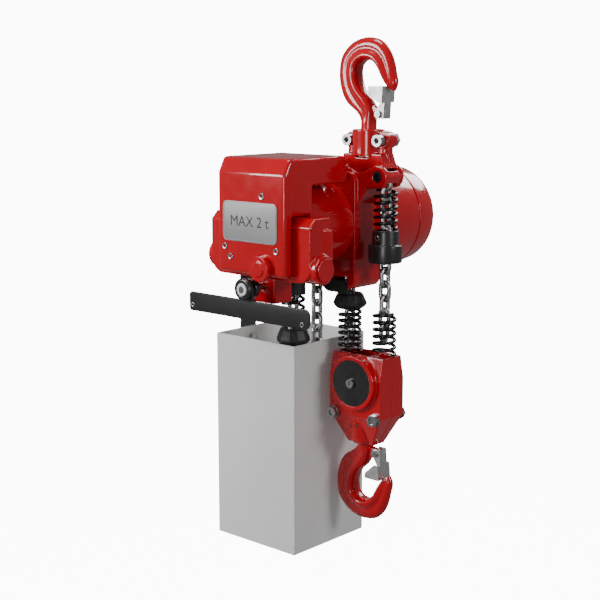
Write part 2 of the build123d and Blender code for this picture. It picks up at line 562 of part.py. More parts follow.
bracket -= rod_x(4.2, (BOX_X[0] - 8, BOX_X[0] + 4), bolt_y, BOLT_Z)
save("container_bracket", bracket)
bolt = rod_x(7.5, (BOX_X[0] + BOX_WALL, BOX_X[0] + BOX_WALL + 5), bolt_y, BOLT_Z)
bolt += rod_x(4.2, (BOX_X[0] - 9, BOX_X[0] + BOX_WALL), bolt_y, BOLT_Z)
bolt += rod_x(7.0, (BOX_X[0] - 9, BOX_X[0] - BRACKET_T), bolt_y, BOLT_Z)
save("clamp_screws", fasteners + [set_screw, bolt])

# ---- hook block: two halves round the sheave -----------------------------------------
BLOCK_LOW = -588.0
outline = [(-50, BLOCK_TOP), (50, BLOCK_TOP), (50, -541), (25, BLOCK_LOW), (-25, BLOCK_LOW), (-50, -541)]
slab = plate_y(outline, (-29, 29))
top_cut = make_face(Polyline((0, -29, -480), (0, -22, BLOCK_TOP), (0, -40, BLOCK_TOP + 1),
                             (0, -40, -480), close=True))
top_cut = Pos(-60, 0, 0) * extrude(top_cut, amount=120, dir=(1, 0, 0))
low_cut = make_face(Polyline((0, -29, -541), (0, -14, BLOCK_LOW - 1), (0, -40, BLOCK_LOW - 1),
                             (0, -40, -541), close=True))
low_cut = Pos(-60, 0, 0) * extrude(low_cut, amount=120, dir=(1, 0, 0))
for cut in (top_cut, low_cut):
    slab = slab - cut - mirror(cut, Plane.XZ)
slab = slab + rod_y(43, (-38, 38), 0, SHEAVE_Z)
slab -= rod_y(SWEPT_R + 1, (-17, 17), 0, SHEAVE_Z)
for s in (-1, 1):
    slab -= box((s * FALL_X - 12.5, s * FALL_X + 12.5), (-12.5, 12.5), (SHEAVE_Z, BLOCK_TOP + 1))
axle_bore = rod_y(10, (-34, 34), 0, SHEAVE_Z)
cover_seat = rod_y(36, (-39, -34), 0, SHEAVE_Z) + rod_y(36, (34, 39), 0, SHEAVE_Z)
LOW_NUT_Z = (-568.0, -554.0)
LOW_BEARING_Z = (-576.0, -568.0)
hook_room = rod_z(19.8, (LOW_BEARING_Z[0] - 0.2, LOW_NUT_Z[1] + 3))
hook_room += rod_z(SHANK_R + 0.05, (BLOCK_LOW - 2, -570))
CLAMP_X, CLAMP_Z = 40.0, -541.0
clamp_holes = rod_y(5.05, (-40, 40), CLAMP_X, CLAMP_Z) + rod_y(5.05, (-40, 40), -CLAMP_X, CLAMP_Z)
slab = slab - axle_bore - cover_seat - hook_room - clamp_holes
for name, y in (("block_front", (-60, 0)), ("block_rear", (0, 60))):
    save(name, slab & box((-80, 80), y, (-620, -430)))
sheave = Pos(0, 0, SHEAVE_Z) * (pocket_wheel(18) + (Rot(90, 0, 0) * Cylinder(HOLLOW_R, 2 * WHEEL_HALF_W)))
sheave -= rod_y(12, (-30, 30), 0, SHEAVE_Z)
bush = rod_y(12, (-WHEEL_HALF_W, WHEEL_HALF_W), 0, SHEAVE_Z) - rod_y(10.05, (-30, 30), 0, SHEAVE_Z)
save("sheave", [sheave, bush])
save("sheave_axle", axle_bore)
save("sheave_chain", wrap(0, SHEAVE_Z, 180))
covers = [rod_y(36, y, 0, SHEAVE_Z) for y in ((-37.5, -34), (34, 37.5))]
save("axle_covers", covers)
block_fasteners = []
for s in (-1, 1):
    x = s * CLAMP_X
    block_fasteners.append(rod_y(5.0, (-36, 36), x, CLAMP_Z))
    for side in (-1, 1):
        y = (29, 31) if side > 0 else (-31, -29)
        block_fasteners.append(rod_y(10, y, x, CLAMP_Z) - rod_y(5.0, (-40, 40), x, CLAMP_Z))
        y = (31, 38) if side > 0 else (-38, -31)
        block_fasteners.append(nut_y(x, CLAMP_Z, y, 16, 5.0))
for y, way in ((-42, 1), (42, -1)):
    head = rod_y(7, (y, y + way * 4.5), 0, SHEAVE_Z)
    block_fasteners.append(head - rod_y(3.5, (y - way, y + way * 3), 0, SHEAVE_Z))
save("block_fasteners", block_fasteners)

# ---- bottom hook: the same forging, hung the other way up ------------------------------
HOOK_DROP = -680.0
flip = Pos(0, 0, HOOK_DROP) * Rot(180, 0, 0)
save("bottom_hook", flip * hook_solid(HOOK_DROP - LOW_NUT_Z[1] - 2))
save("bottom_latch", flip * latch)
save("bottom_latch_pin", flip * latch_pin_solid())
low_nut = turned_z([(SHANK_R, LOW_NUT_Z[0] + 0.2), (19, LOW_NUT_Z[0] + 0.2), (19, LOW_NUT_Z[1]),
                    (SHANK_R, LOW_NUT_Z[1])])
save("bottom_hook_nut", low_nut)
low_rings = turned_z([(12.4, LOW_BEARING_Z[0]), (19.5, LOW_BEARING_Z[0]), (19.5, LOW_BEARING_Z[1]),
                      (12.4, LOW_BEARING_Z[1])])
save("bottom_thrust_bearing", low_rings)
print(len(os.listdir("parts")), "nodes")
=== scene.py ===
# The looks of a compressed-air chain hoist: two falls of chain, 2 t, hung by its top hook.
# Lengths are in millimetres until a mesh is made, and the frame is the model's own:
# origin in the top hook, +Z up the load line, -Y towards the rating plate.
import math

import bmesh
import bpy
import numpy as np
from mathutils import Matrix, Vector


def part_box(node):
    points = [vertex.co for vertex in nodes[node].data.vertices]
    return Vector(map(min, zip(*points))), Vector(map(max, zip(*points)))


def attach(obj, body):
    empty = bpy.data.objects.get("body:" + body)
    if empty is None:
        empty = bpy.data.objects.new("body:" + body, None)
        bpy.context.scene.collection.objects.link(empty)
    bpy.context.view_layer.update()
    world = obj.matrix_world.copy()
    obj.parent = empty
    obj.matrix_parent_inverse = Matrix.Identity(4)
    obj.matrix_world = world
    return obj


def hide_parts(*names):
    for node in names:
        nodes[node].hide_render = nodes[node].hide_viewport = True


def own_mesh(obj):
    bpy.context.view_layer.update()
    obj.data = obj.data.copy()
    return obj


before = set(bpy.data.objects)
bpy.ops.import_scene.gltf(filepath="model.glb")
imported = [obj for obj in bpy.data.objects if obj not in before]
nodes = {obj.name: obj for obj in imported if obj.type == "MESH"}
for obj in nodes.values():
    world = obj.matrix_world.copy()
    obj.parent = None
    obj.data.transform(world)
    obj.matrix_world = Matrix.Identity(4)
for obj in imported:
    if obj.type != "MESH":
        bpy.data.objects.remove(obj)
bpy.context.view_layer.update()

# ---- studio ---------------------------------------------------------------------------
# A white sweep round the hanging hoist that lights nothing itself, a large soft light on the
# left, weaker ones on the right, in front, overhead and behind, and a long lens on the right.
eye = (1.1904, -1.4772, -0.0299)
eye_pitch, eye_turn = math.radians(9.97), math.radians(41.99)
camera_data = bpy.data.cameras.new("camera")
camera_data.sensor_width = 36.0
camera_data.lens = 74.95
camera = bpy.data.objects.new("camera", camera_data)
camera.location = eye
camera.rotation_euler = (math.pi / 2 - eye_pitch, 0.0, eye_turn)
bpy.context.scene.collection.objects.link(camera)
bpy.context.scene.camera = camera


def soft_light(name, place, aim, size, power, tint=(1.0, 1.0, 1.0)):
    """A square area light at a place, facing another."""
    data = bpy.data.lights.new(name, "AREA")
    data.shape, data.size, data.energy, data.color = "SQUARE", size, power, tint
    lamp = bpy.data.objects.new(name, data)
    lamp.location = place
    to = np.array(aim, float) - np.array(place, float)
    turn = math.atan2(to[0], -to[1])
    lamp.rotation_euler = (math.acos(-to[2] / np.linalg.norm(to)), 0.0, turn - math.pi)
    bpy.context.scene.collection.objects.link(lamp)
    return lamp


world = bpy.data.worlds.new("studio")
world.use_nodes = True
world.node_tree.nodes["Background"].inputs["Color"].default_value = (1.0, 1.0, 1.0, 1.0)
world.node_tree.nodes["Background"].inputs["Strength"].default_value = 0.22
bpy.context.scene.world = world
middle = (-0.08, 0.0, -0.35)
soft_light("left_box", (-1.3, -2.0, 0.4), middle, 0.9, 56.0)
soft_light("right_box", (2.0, 0.1, 0.3), middle, 0.5, 16.0)
soft_light("top_box", (-0.2, -0.4, 1.6), middle, 0.8, 22.0)
soft_light("front_box", (0.9, -2.2, -0.3), middle, 0.5, 10.0)
soft_light("back_box", (-0.1, 1.6, 0.9), middle, 0.9, 30.0)

floor_mesh = bpy.data.meshes.new("floor")
sweep_t = np.linspace(0, 2 * np.pi, 64, endpoint=False)
sweep_r = np.array([0.01, 6.0, 9.0, 11.0, 12.0, 12.5])
sweep_z = np.array([-1.15, -1.15, -0.9, 0.2, 2.5, 14.0])
sweep = np.stack([np.cos(sweep_t)[:, None] * sweep_r, np.sin(sweep_t)[:, None] * sweep_r,
                  np.broadcast_to(sweep_z, (64, 6))], -1)
ring_i, ring_j = np.meshgrid(np.arange(64), np.arange(5), indexing="ij")
next_i = (ring_i + 1) % 64
sweep_faces = np.stack([ring_i * 6 + ring_j, ring_i * 6 + ring_j + 1, next_i * 6 + ring_j + 1,
                        next_i * 6 + ring_j], -1)
floor_mesh.from_pydata(sweep.reshape(-1, 3).tolist(), [], sweep_faces.reshape(-1, 4).tolist())
floor = bpy.data.objects.new("floor", floor_mesh)
floor.visible_diffuse = floor.visible_glossy = floor.visible_shadow = False
bpy.context.scene.collection.objects.link(floor)
floor_paint = bpy.data.materials.new("floor_paint")
floor_paint.use_nodes = True
floor_shader = floor_paint.node_tree.nodes["Principled BSDF"]
floor_shader.inputs["Base Color"].default_value = (0.92, 0.92, 0.92, 1.0)
floor_shader.inputs["Roughness"].default_value = 0.8
floor_shader.inputs["Emission Color"].default_value = (1.0, 1.0, 1.0, 1.0)
floor_shader.inputs["Emission Strength"].default_value = 11.0
floor.data.materials.append(floor_paint)

# ---- red paint ------------------------------------------------------------------------
# Two-pack gloss enamel, sprayed on cast aluminium and forged steel: a deep even red under a
# clear wet-looking skin, with a faint orange peel.
def finish_of(name, shader_values):
    """A new material with these values on its Principled shader, its node tree and that shader."""
    material = bpy.data.materials.new(name)
    material.use_nodes = True
    tree = material.node_tree
    shader = tree.nodes["Principled BSDF"]
    for socket, value in shader_values.items():
        shader.inputs[socket].default_value = value
    return material, tree, shader


def add(tree, kind, values=(), links=()):
    """A node of one kind with values on its sockets and links into them."""
    node = tree.nodes.new(kind)
    for socket, value in dict(values).items():
        node.inputs[socket].default_value = value
    for socket, source in dict(links).items():
        tree.links.new(source, node.inputs[socket])
    return node


def noise(tree, scale, detail=2.0, rough=0.5):
    """Noise on Object coordinates, in cells per metre."""
    place = tree.nodes.get("place") or tree.nodes.new("ShaderNodeTexCoord")
    place.name = "place"
    return add(tree, "ShaderNodeTexNoise", {"Scale": scale, "Detail": detail, "Roughness": rough},
               {"Vector": place.outputs["Object"]}).outputs["Fac"]


def between(tree, fac, low, high, a, b):
    """The value a where fac is low, b where it is high, as numbers or as colours."""
    ramp = tree.nodes.new("ShaderNodeValToRGB")
    ramp.color_ramp.elements[0].position, ramp.color_ramp.elements[1].position = low, high
    for element, value in zip(ramp.color_ramp.elements, (a, b)):
        element.color = (*value, 1.0) if isinstance(value, tuple) else (value, value, value, 1.0)
    tree.links.new(fac, ramp.inputs["Fac"])
    return ramp.outputs["Color"]


def bump(tree, shader, height, strength, distance, before=None):
    """A bump from a height, on top of an earlier one."""
    node = add(tree, "ShaderNodeBump", {"Strength": strength, "Distance": distance}, {"Height": height})
    if before is not None:
        tree.links.new(before.outputs["Normal"], node.inputs["Normal"])
    tree.links.new(node.outputs["Normal"], shader.inputs["Normal"])
    return node


red_paint, tree, shader = finish_of("red_enamel", {
    "Roughness": 0.25, "Coat Weight": 0.6, "Coat Roughness": 0.05, "Specular IOR Level": 0.3})
red = between(tree, noise(tree, 9.0, 4.0), 0.35, 0.7, (0.42, 0.0005, 0.0060), (0.48, 0.0010, 0.0080))
tree.links.new(red, shader.inputs["Base Color"])
tree.links.new(between(tree, noise(tree, 60.0, 5.0), 0.4, 0.75, 0.17, 0.27), shader.inputs["Roughness"])
peel = bump(tree, shader, noise(tree, 420.0, 2.0), 0.05, 0.0006)
bump(tree, shader, noise(tree, 35.0, 1.0), 0.05, 0.003, peel)

# ---- castings -------------------------------------------------------------------------
# The hanger halves, the central casing, the valve block with its caps and valve, and the hook
# block's two halves are castings: soft edges, small fillets in every inner corner.
def show(name, mesh, body, material, slot, *replaced, smooth_below=35.0):
    """An object for a finished mesh, smooth but for edges sharper than the angle, riding on a body."""
    mesh.materials.clear()
    mesh.materials.append(material)
    mesh.shade_smooth()
    if smooth_below < 180.0:
        mesh.set_sharp_from_angle(angle=math.radians(smooth_below))
    piece = bpy.data.objects.new(name, mesh)
    bpy.context.scene.collection.objects.link(piece)
    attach(piece, body)
    if replaced:
        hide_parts(*replaced)
    return piece


def applied(source, *modifiers):
    """The mesh that an object has after these modifiers, which the object loses again."""
    for kind, values in modifiers:
        modifier = source.modifiers.new(kind.lower(), kind)
        for key, value in values.items():
            setattr(modifier, key, value)
    bpy.context.view_layer.update()
    depsgraph = bpy.context.evaluated_depsgraph_get()
    mesh = bpy.data.meshes.new_from_object(source.evaluated_get(depsgraph))
    source.modifiers.clear()
    return mesh


def cast(node, body, voxel, passes, name=None):
    """A casting: the machined solid's skin is rebuilt in cells of one size and relaxed, so that
    every edge is rounded and every inner corner filled by about as much as it is relaxed."""
    name = name or node + "_cast"
    skin = bpy.data.objects.new(name + "_skin", nodes[node].data.copy())
    bpy.context.scene.collection.objects.link(skin)
    mesh = applied(skin, ("WELD", {"merge_threshold": 0.00002}),
                   ("REMESH", {"mode": "VOXEL", "voxel_size": voxel / 1000.0}),
                   ("SMOOTH", {"factor": 0.5, "iterations": passes}))
    bpy.data.objects.remove(skin)
    return show(name, mesh, body, red_paint, "red_paint", node, smooth_below=180.0)


cast("hanger_front", "hoist", 0.8, 5)
cast("hanger_rear", "hoist", 0.8, 5)
cast("central_casing", "hoist", 1.3, 4)
cast("valve_block", "hoist", 1.3, 4)
cast("block_front", "hook_block", 1.0, 5)
cast("block_rear", "hook_block", 1.0, 5)
cast("port_caps", "hoist", 0.7, 3)
cast("control_valve", "hoist", 0.9, 3)

# ---- front cover with its bridge ------------------------------------------------------
# One deep-drawn light-alloy cover over the valve block; its top runs back over the motor as
# a bridge with the exhaust passage.  The side view is one outline, drawn out along X.
def rounded(outline, radius, steps=7):
    """An outline's corners as arcs, taken round to the left: the points and their outward normals.
    Each arc touches both edges at radius / tan(half the corner's angle) from the corner."""
    points = np.array(outline, float)
    radius = np.broadcast_to(np.array(radius, float), len(points))
    ahead = np.roll(points, -1, 0)
    if (points[:, 0] * ahead[:, 1] - points[:, 1] * ahead[:, 0]).sum() < 0:
        points, radius = points[::-1], radius[::-1]
    back, ahead = np.roll(points, 1, 0) - points, np.roll(points, -1, 0) - points
    back_len, ahead_len = np.linalg.norm(back, axis=1), np.linalg.norm(ahead, axis=1)
    back, ahead = back / back_len[:, None], ahead / ahead_len[:, None]
    half = 0.5 * np.arccos(np.clip((back * ahead).sum(1), -1, 1))
    reach = np.minimum(radius / np.tan(half), 0.48 * np.minimum(back_len, ahead_len))
    true_r = reach * np.tan(half)
    mid = back + ahead
    mid = mid / np.maximum(np.linalg.norm(mid, axis=1), 1e-9)[:, None]
    centre = points + mid * (true_r / np.maximum(np.sin(half), 1e-9))[:, None]
    start_n = (points + back * reach[:, None] - centre) / np.maximum(true_r, 1e-9)[:, None]
    end_n = (points + ahead * reach[:, None] - centre) / np.maximum(true_r, 1e-9)[:, None]
    a0 = np.arctan2(start_n[:, 1], start_n[:, 0])
    a1 = np.arctan2(end_n[:, 1], end_n[:, 0])
    swing = (a1 - a0 + np.pi) % (2 * np.pi) - np.pi
    angle = a0[:, None] + swing[:, None] * np.linspace(0, 1, steps)[None, :]
    direction = np.stack([np.cos(angle), np.sin(angle)], 2)
    arc = centre[:, None, :] + direction * true_r[:, None, None]
    normal = direction * np.sign(swing)[:, None, None]
    return arc.reshape(-1, 2), normal.reshape(-1, 2)


def skin_mesh(name, grid, round_rows=False, caps=True):
    """A mesh from a grid of points in millimetres, rows by columns; the columns close round, and
    each end row is capped or, with round_rows, the rows close too."""
    rows, columns = grid.shape[:2]
    i, j = np.meshgrid(np.arange(rows if round_rows else rows - 1), np.arange(columns), indexing="ij")
    i2, j2 = (i + 1) % rows, (j + 1) % columns
    quads = np.stack([i * columns + j, i * columns + j2, i2 * columns + j2, i2 * columns + j], -1)
    faces = quads.reshape(-1, 4).tolist()
    if caps and not round_rows:
        faces.append(list(range(columns))[::-1])
        faces.append(list(range((rows - 1) * columns, rows * columns)))
    mesh = bpy.data.meshes.new(name)
    mesh.from_pydata((grid.reshape(-1, 3) / 1000.0).tolist(), [], faces)
    return mesh


def outward(mesh):
    """The same mesh with its faces turned outwards."""
    work = bmesh.new()
    work.from_mesh(mesh)
    bmesh.ops.remove_doubles(work, verts=work.verts, dist=1e-7)
    bmesh.ops.recalc_face_normals(work, faces=work.faces)
    work.to_mesh(mesh)
    work.free()
    return mesh


def joined(name, *meshes):
    """Several meshes as one."""
    work = bmesh.new()
    for mesh in meshes:
        work.from_mesh(mesh)
    out = bpy.data.meshes.new(name)
    work.to_mesh(out)
    work.free()
    return out


def prism(name, outline, radius, ends, edge, along="y", steps=7):
    """An outline drawn out along one axis, with arcs at its corners and a quarter round of the
    edge radius where each end meets the sides: the section moves in by edge * (1 - sin t) while
    it comes forward by edge * (1 - cos t)."""
    points, normal = rounded(outline, radius, steps)
    t = np.linspace(0, np.pi / 2, 6)
    inset, forward = edge * (1 - np.sin(t)), edge * (1 - np.cos(t))
    depth = np.concatenate([ends[0] + forward, (ends[1] - forward)[::-1]])
    inset = np.concatenate([inset, inset[::-1]])
    flat = points[None] - normal[None] * inset[:, None, None]
    level = np.broadcast_to(depth[:, None], flat.shape[:2])
    order = {"y": (flat[..., 0], level, flat[..., 1]), "x": (level, flat[..., 0], flat[..., 1]),
             "z": (flat[..., 0], flat[..., 1], level)}[along]
    return outward(skin_mesh(name, np.stack(order, -1)))


def limits(node):
    """A node's box in millimetres."""
    low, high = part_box(node)
    return np.array(low) * 1000.0, np.array(high) * 1000.0


low, high = limits("front_cover")
front, back, top, bottom = low[1], high[1], high[2], low[2]
fold_y, fold_z = front + 12.0, top - 22.5
deep_back, ear_top, plate_back, bridge_low = -124.3, -222.3, -168.2, -180.2
side_view = [(front, bottom), (front, fold_z), (fold_y, top), (back, top), (back, bridge_low),
             (deep_back, bridge_low), (deep_back, ear_top), (plate_back, ear_top), (plate_back, bottom)]
cover = prism("front_cover_shell", side_view, [6, 9, 8, 6, 6, 3, 6, 3, 6], (low[0], high[0]), 5.5, "x")
show("front_cover_shell", cover, "hoist", red_paint, "red_paint", "front_cover", smooth_below=30.0)

# ---- rating plate -----------------------------------------------------------------------
# Anodised aluminium plate with a rolled edge, printed in black with the working load only.
plate_finish, tree, shader = finish_of("anodised_plate", {"Metallic": 0.55, "Roughness": 0.42})
grain = noise(tree, 900.0, 2.0)
tree.links.new(between(tree, grain, 0.3, 0.7, (0.26, 0.26, 0.265), (0.31, 0.31, 0.315)),
               shader.inputs["Base Color"])
bump(tree, shader, grain, 0.05, 0.0002)
print_ink, tree, shader = finish_of("print_ink", {"Roughness": 0.5})
tree.links.new(between(tree, noise(tree, 500.0), 0.3, 0.7, (0.012, 0.012, 0.012), (0.02, 0.02, 0.02)),
               shader.inputs["Base Color"])
low, high = limits("rating_plate")
corners = [(low[0], low[2]), (high[0], low[2]), (high[0], high[2]), (low[0], high[2])]
plate = prism("rating_plate_face", corners, 8.0, (low[1] + 0.4, high[1]), 0.5)
show("rating_plate_face", plate, "hoist", plate_finish, "plate_grey", "rating_plate")
rim_t = np.linspace(0, 2 * np.pi, 9)[:-1]
points, normal = rounded(corners, 8.0)
rim = points[:, None, :] - normal[:, None, :] * (1.6 + 0.5 * np.cos(rim_t))[None, :, None]
rim_y = np.broadcast_to((low[1] + 0.45 + 0.45 * np.sin(rim_t))[None, :], rim.shape[:2])
rim_mesh = skin_mesh("rating_plate_rim", np.stack([rim[..., 0], rim_y, rim[..., 1]], -1), round_rows=True)
show("rating_plate_rim", outward(rim_mesh), "hoist", plate_finish, "plate_grey", smooth_below=180.0)


def lettering(name, text, height, x, y, z, body, ink, slot, round_r=None):
    """Letters of thin ink on a flat face that looks along -Y, or on a round one of this radius about Z:
    then y is less by the root of the radius squared less x squared."""
    curve = bpy.data.curves.new(name, "FONT")
    curve.body, curve.size, curve.extrude = text, height / 1000.0, 0.00015
    curve.align_x = curve.align_y = "CENTER"
    source = bpy.data.objects.new(name + "_curve", curve)
    bpy.context.scene.collection.objects.link(source)
    mesh = applied(source)
    bpy.data.objects.remove(source)
    count = len(mesh.vertices)
    flat = np.empty(count * 3, np.float32)
    mesh.vertices.foreach_get("co", flat)
    flat = flat.reshape(-1, 3)
    across = flat[:, 0] + x / 1000.0
    depth = np.sqrt((round_r / 1000.0) ** 2 - across ** 2) if round_r else 0.0
    placed = np.stack([across, y / 1000.0 - flat[:, 2] - depth, flat[:, 1] + z / 1000.0], 1)
    mesh.vertices.foreach_set("co", placed.astype(np.float32).ravel())
    return show(name, mesh, body, ink, slot)


plate_mid = (low + high) / 2
lettering("rating_text", "MAX 2 t", 22.0, plate_mid[0], low[1] + 0.35, plate_mid[2], "hoist", print_ink,
          "black_plastic")

# ---- motor, gear housing and end cap ---------------------------------------------------
# Turned light-alloy barrels on one axis: the motor barrel in front of the casing, the gear
# housing and the domed brake cap behind it, with a fine joint between the two.
AXIS = (-68.4, -245.0)
DRUM_INSET = 3.0  # the drum and the cap are drawn this much under the CAD model's radius


def turned(name, profile, radius, along, place, segments=96):
    """A profile of distance and level turned about an axis, with its corners as arcs: the two
    places across the axis are the distance times the cosine and the sine of the turn."""
    points = rounded(profile, radius, 6)[0]
    turn = np.linspace(0, 2 * np.pi, segments, endpoint=False)
    r, level = points[:, 0][None], points[:, 1][None]
    across, up = np.cos(turn)[:, None] * r, np.sin(turn)[:, None] * r
    level = np.broadcast_to(level, across.shape)
    if along == "y":
        grid = np.stack([across + place[0], level, up + place[1]], -1)
    else:
        grid = np.stack([across + place[0], up + place[1], level], -1)
    return outward(skin_mesh(name, grid, round_rows=True))


low, high = limits("motor_housing")
motor_r = (high[2] - low[2]) / 2
barrel = [(0.2, low[1]), (motor_r, low[1]), (motor_r, high[1]), (0.2, high[1])]
show("motor_barrel", turned("motor_barrel", barrel, 1.5, "y", AXIS), "hoist", red_paint, "red_paint",
     "motor_housing")
low, high = limits("gear_housing")
drum_r = (high[2] - low[2]) / 2 - DRUM_INSET
drum = [(20, low[1]), (drum_r - 4, low[1]), (drum_r, low[1] + 8), (drum_r, high[1]), (20, high[1])]
show("gear_drum", turned("gear_drum", drum, [0, 3, 3, 0.8, 0], "y", AXIS), "hoist",
     red_paint, "red_paint", "gear_housing")
low, high = limits("end_cap")
cap = [(0.2, low[1]), (drum_r - 3, low[1]), (drum_r - 3, low[1] + 4), (drum_r - 1, low[1] + 4.8),
       (77, high[1] - 17), (60, high[1] - 0.1), (30, high[1]), (28, high[1] - 2.5), (0.2, high[1] - 2.5)]
show("brake_cap", turned("brake_cap", cap, [0, 0.5, 0.5, 1, 24, 10, 1, 1, 0], "y", AXIS), "hoist", red_paint,
     "red_paint", "end_cap")

# ---- hooks -------------------------------------------------------------------------------
# Drop-forged alloy steel, painted with the rest: a round shank runs out into a bowl whose
# section is wide inside and narrow outside, and thins to the point.  Both hooks are one forging.
def flowing(points, count):
    """A Catmull-Rom curve through the points, evenly spread over them."""
    p = np.array(points, float)
    p = np.vstack([2 * p[0] - p[1], p, 2 * p[-1] - p[-2]])
    at = np.linspace(0, len(points) - 1.000001, count)
    k, f = at.astype(int), (at % 1.0)[:, None]
    a, b, c, d = p[k], p[k + 1], p[k + 2], p[k + 3]
    square, cube = 2 * a - 5 * b + 4 * c - d, 3 * b - a - 3 * c + d
    return 0.5 * (2 * b + (c - a) * f + square * f ** 2 + cube * f ** 3)


def hook_grid(shank_end):
    """Sections from the shank to the point: each runs from the inner side to the outer side,
    and its half thickness is widest a third of the way out and falls towards the outside."""
    inner = [(12, shank_end), (12, -100), (12.3, -86), (12, -73), (5, -57), (-9, -44), (-17, -28), (-17, -11),
             (-8, -2), (3, -0.2), (13, -4), (21, -13), (26, -23), (31, -32), (36, -38), (41, -42)]
    outer = [(-12, shank_end), (-12, -100), (-12.6, -88), (-21, -77), (-42, -62), (-53, -41),
             (-56, -16), (-50, 8), (-31, 26), (-5, 33.6), (20, 30), (36, 18), (45, 2), (50, -16),
             (53.5, -33), (49.5, -45)]
    thick = [(12, 0), (12, 0), (12, 0.1), (12.6, 0.5), (13.2, 0.8), (13.8, 1), (14, 1), (14, 1), (14, 1),
             (14, 1), (13.6, 1), (13, 1), (12, 0.9), (10.6, 0.7), (8.6, 0.5), (5, 0.3)]
    count = 120
    inner_nose, outer_nose = 0.2, 0.34
    taper_from, taper_over, taper = 0.24, 0.3, 0.34
    flute_at, flute_wide, flute_deep = 0.5, 0.1, 0.05
    inside, outside, form = flowing(inner, count), flowing(outer, count), flowing(thick, count)
    round_t = np.linspace(0, 2 * np.pi, 48, endpoint=False)
    out = 0.5 * (1 - np.cos(round_t))[None, :]
    wedge = np.clip(form[:, 1:2], 0, 1)
    full = np.sqrt(np.clip(1 - np.clip(1 - out / inner_nose, 0, 1) ** 2, 0, 1))
    full = full * np.sqrt(np.clip(1 - np.clip(1 - (1 - out) / outer_nose, 0, 1) ** 2, 0, 1))
    step_in = np.clip((out - taper_from) / taper_over, 0, 1)
    flute = flute_deep * np.exp(-((out - flute_at) / flute_wide) ** 2)
    full = full * (1 - taper * step_in * step_in * (3 - 2 * step_in) - flute)
    width = np.sign(np.sin(round_t)) * ((1 - wedge) * np.abs(np.sin(round_t)) + wedge * full)
    x = inside[:, :1] + (outside - inside)[:, :1] * out
    z = inside[:, 1:] + (outside - inside)[:, 1:] * out
    return np.stack([x, form[:, :1] * width, z], -1)


def eye_lug():
    """The lug that carries the latch, in the mouth's side of the shank."""
    outline = [(8, -86), (25, -84), (30, -79), (25, -72), (9, -66)]
    return prism("lug", outline, [2, 5, 5, 5, 2], (-5, 5), 1.0)


for name, body, shank_end, drop, flip in (("top_hook", "top_hook", -146.0, 0.0, 1.0),
                                          ("bottom_hook", "bottom_hook", -125.0, -680.0, -1.0)):
    forging = joined(name + "_forging", outward(skin_mesh("bowl", hook_grid(shank_end))), eye_lug())
    place = np.empty(len(forging.vertices) * 3, np.float32)
    forging.vertices.foreach_get("co", place)
    place = place.reshape(-1, 3) * np.array([1.0, flip, flip], np.float32)
    place = place + np.array([0, 0, drop / 1000.0], np.float32)
    forging.vertices.foreach_set("co", place.ravel())
    show(name + "_forging", forging, body, red_paint, "red_paint", name, smooth_below=60.0)


# ---- screws, nuts and pins ----------------------------------------------------------------
# Bright zinc-plated steel: the clamp screws and nuts, the latch bolts, the block's fasteners,
# the cover screws and the collar's set screw.  A fine grain and slight clouding of the plating.
def metal(name, dark, light, rough, scale=300.0, coarse=0.04):
    """A plated or bare metal: clouded colour, uneven gloss, a fine grain."""
    made, tree, shader = finish_of(name, {"Metallic": 1.0})
    tree.links.new(between(tree, noise(tree, 40.0, 4.0), 0.35, 0.7, dark, light), shader.inputs["Base Color"])
    tree.links.new(between(tree, noise(tree, 120.0, 3.0), 0.35, 0.7, rough - 0.05, rough + 0.08),
                   shader.inputs["Roughness"])
    bump(tree, shader, noise(tree, scale, 3.0), coarse, 0.0003)
    return made


def finish_nodes(material, slot, *names):
    """The CAD model's own pieces, finished in a material, with their flat faces kept crisp."""
    for name in names:
        piece = nodes[name]
        piece.data.materials.clear()
        piece.data.materials.append(material)
        piece.data.shade_smooth()
        piece.data.set_sharp_from_angle(angle=math.radians(32))


zinc = metal("zinc_plate", (0.36, 0.36, 0.37), (0.5, 0.5, 0.5), 0.28)
finish_nodes(zinc, "zinc_steel", "clamp_screws", "top_latch_pin", "bottom_latch_pin", "block_fasteners")
socket_head = [(0.2, -184.9), (2.3, -184.9), (2.5, -187.2), (4.3, -187.5), (5.0, -186.9), (5.0, -184.2),
               (0.2, -184.2)]
heads = [turned("cover_screw", socket_head, 0.2, "y", spot, 40)
         for spot in ((-45.8, -193.6), (-121.2, -271.0), (-109.6, -285.5), (-17.7, -270.9))]
show("cover_screw_heads", joined("cover_screw_heads", *heads), "hoist", zinc, "zinc_steel", "cover_screws")
set_screw = [(0.2, -19.4), (1.9, -19.4), (2.1, -21.2), (3.6, -21.4), (4.2, -20.8), (4.2, -17.0),
             (0.2, -17.0)]
show("collar_set_screw", turned("collar_set_screw", set_screw, 0.2, "y", (34.2, -263.0), 40), "hoist", zinc,
     "zinc_steel")

# ---- latches ------------------------------------------------------------------------------
# Pressed from 1.5 mm steel sheet, zinc plated to a soft light grey, closing each hook's mouth.
latch_finish = metal("latch_plate", (0.50, 0.50, 0.50), (0.60, 0.60, 0.60), 0.45)
finish_nodes(latch_finish, "latch_zinc", "top_latch", "bottom_latch")

# ---- shafts, gears and bearings -------------------------------------------------------------
# Ground and oiled steel, nearly all of it inside the hoist and the hook block.
bare = metal("ground_steel", (0.36, 0.36, 0.37), (0.50, 0.50, 0.50), 0.26)
finish_nodes(bare, "bare_steel", "control_shaft", "load_wheel", "hoist_bearings", "ring_gear", "sun_gear",
             "planet_carrier", "planet_gear_1", "planet_gear_2", "planet_gear_3", "motor_stator", "rotor",
             "brake_disc", "brake_pack", "valve_spool", "sheave", "sheave_axle", "top_hook_nut",
             "bottom_hook_nut", "bottom_thrust_bearing")

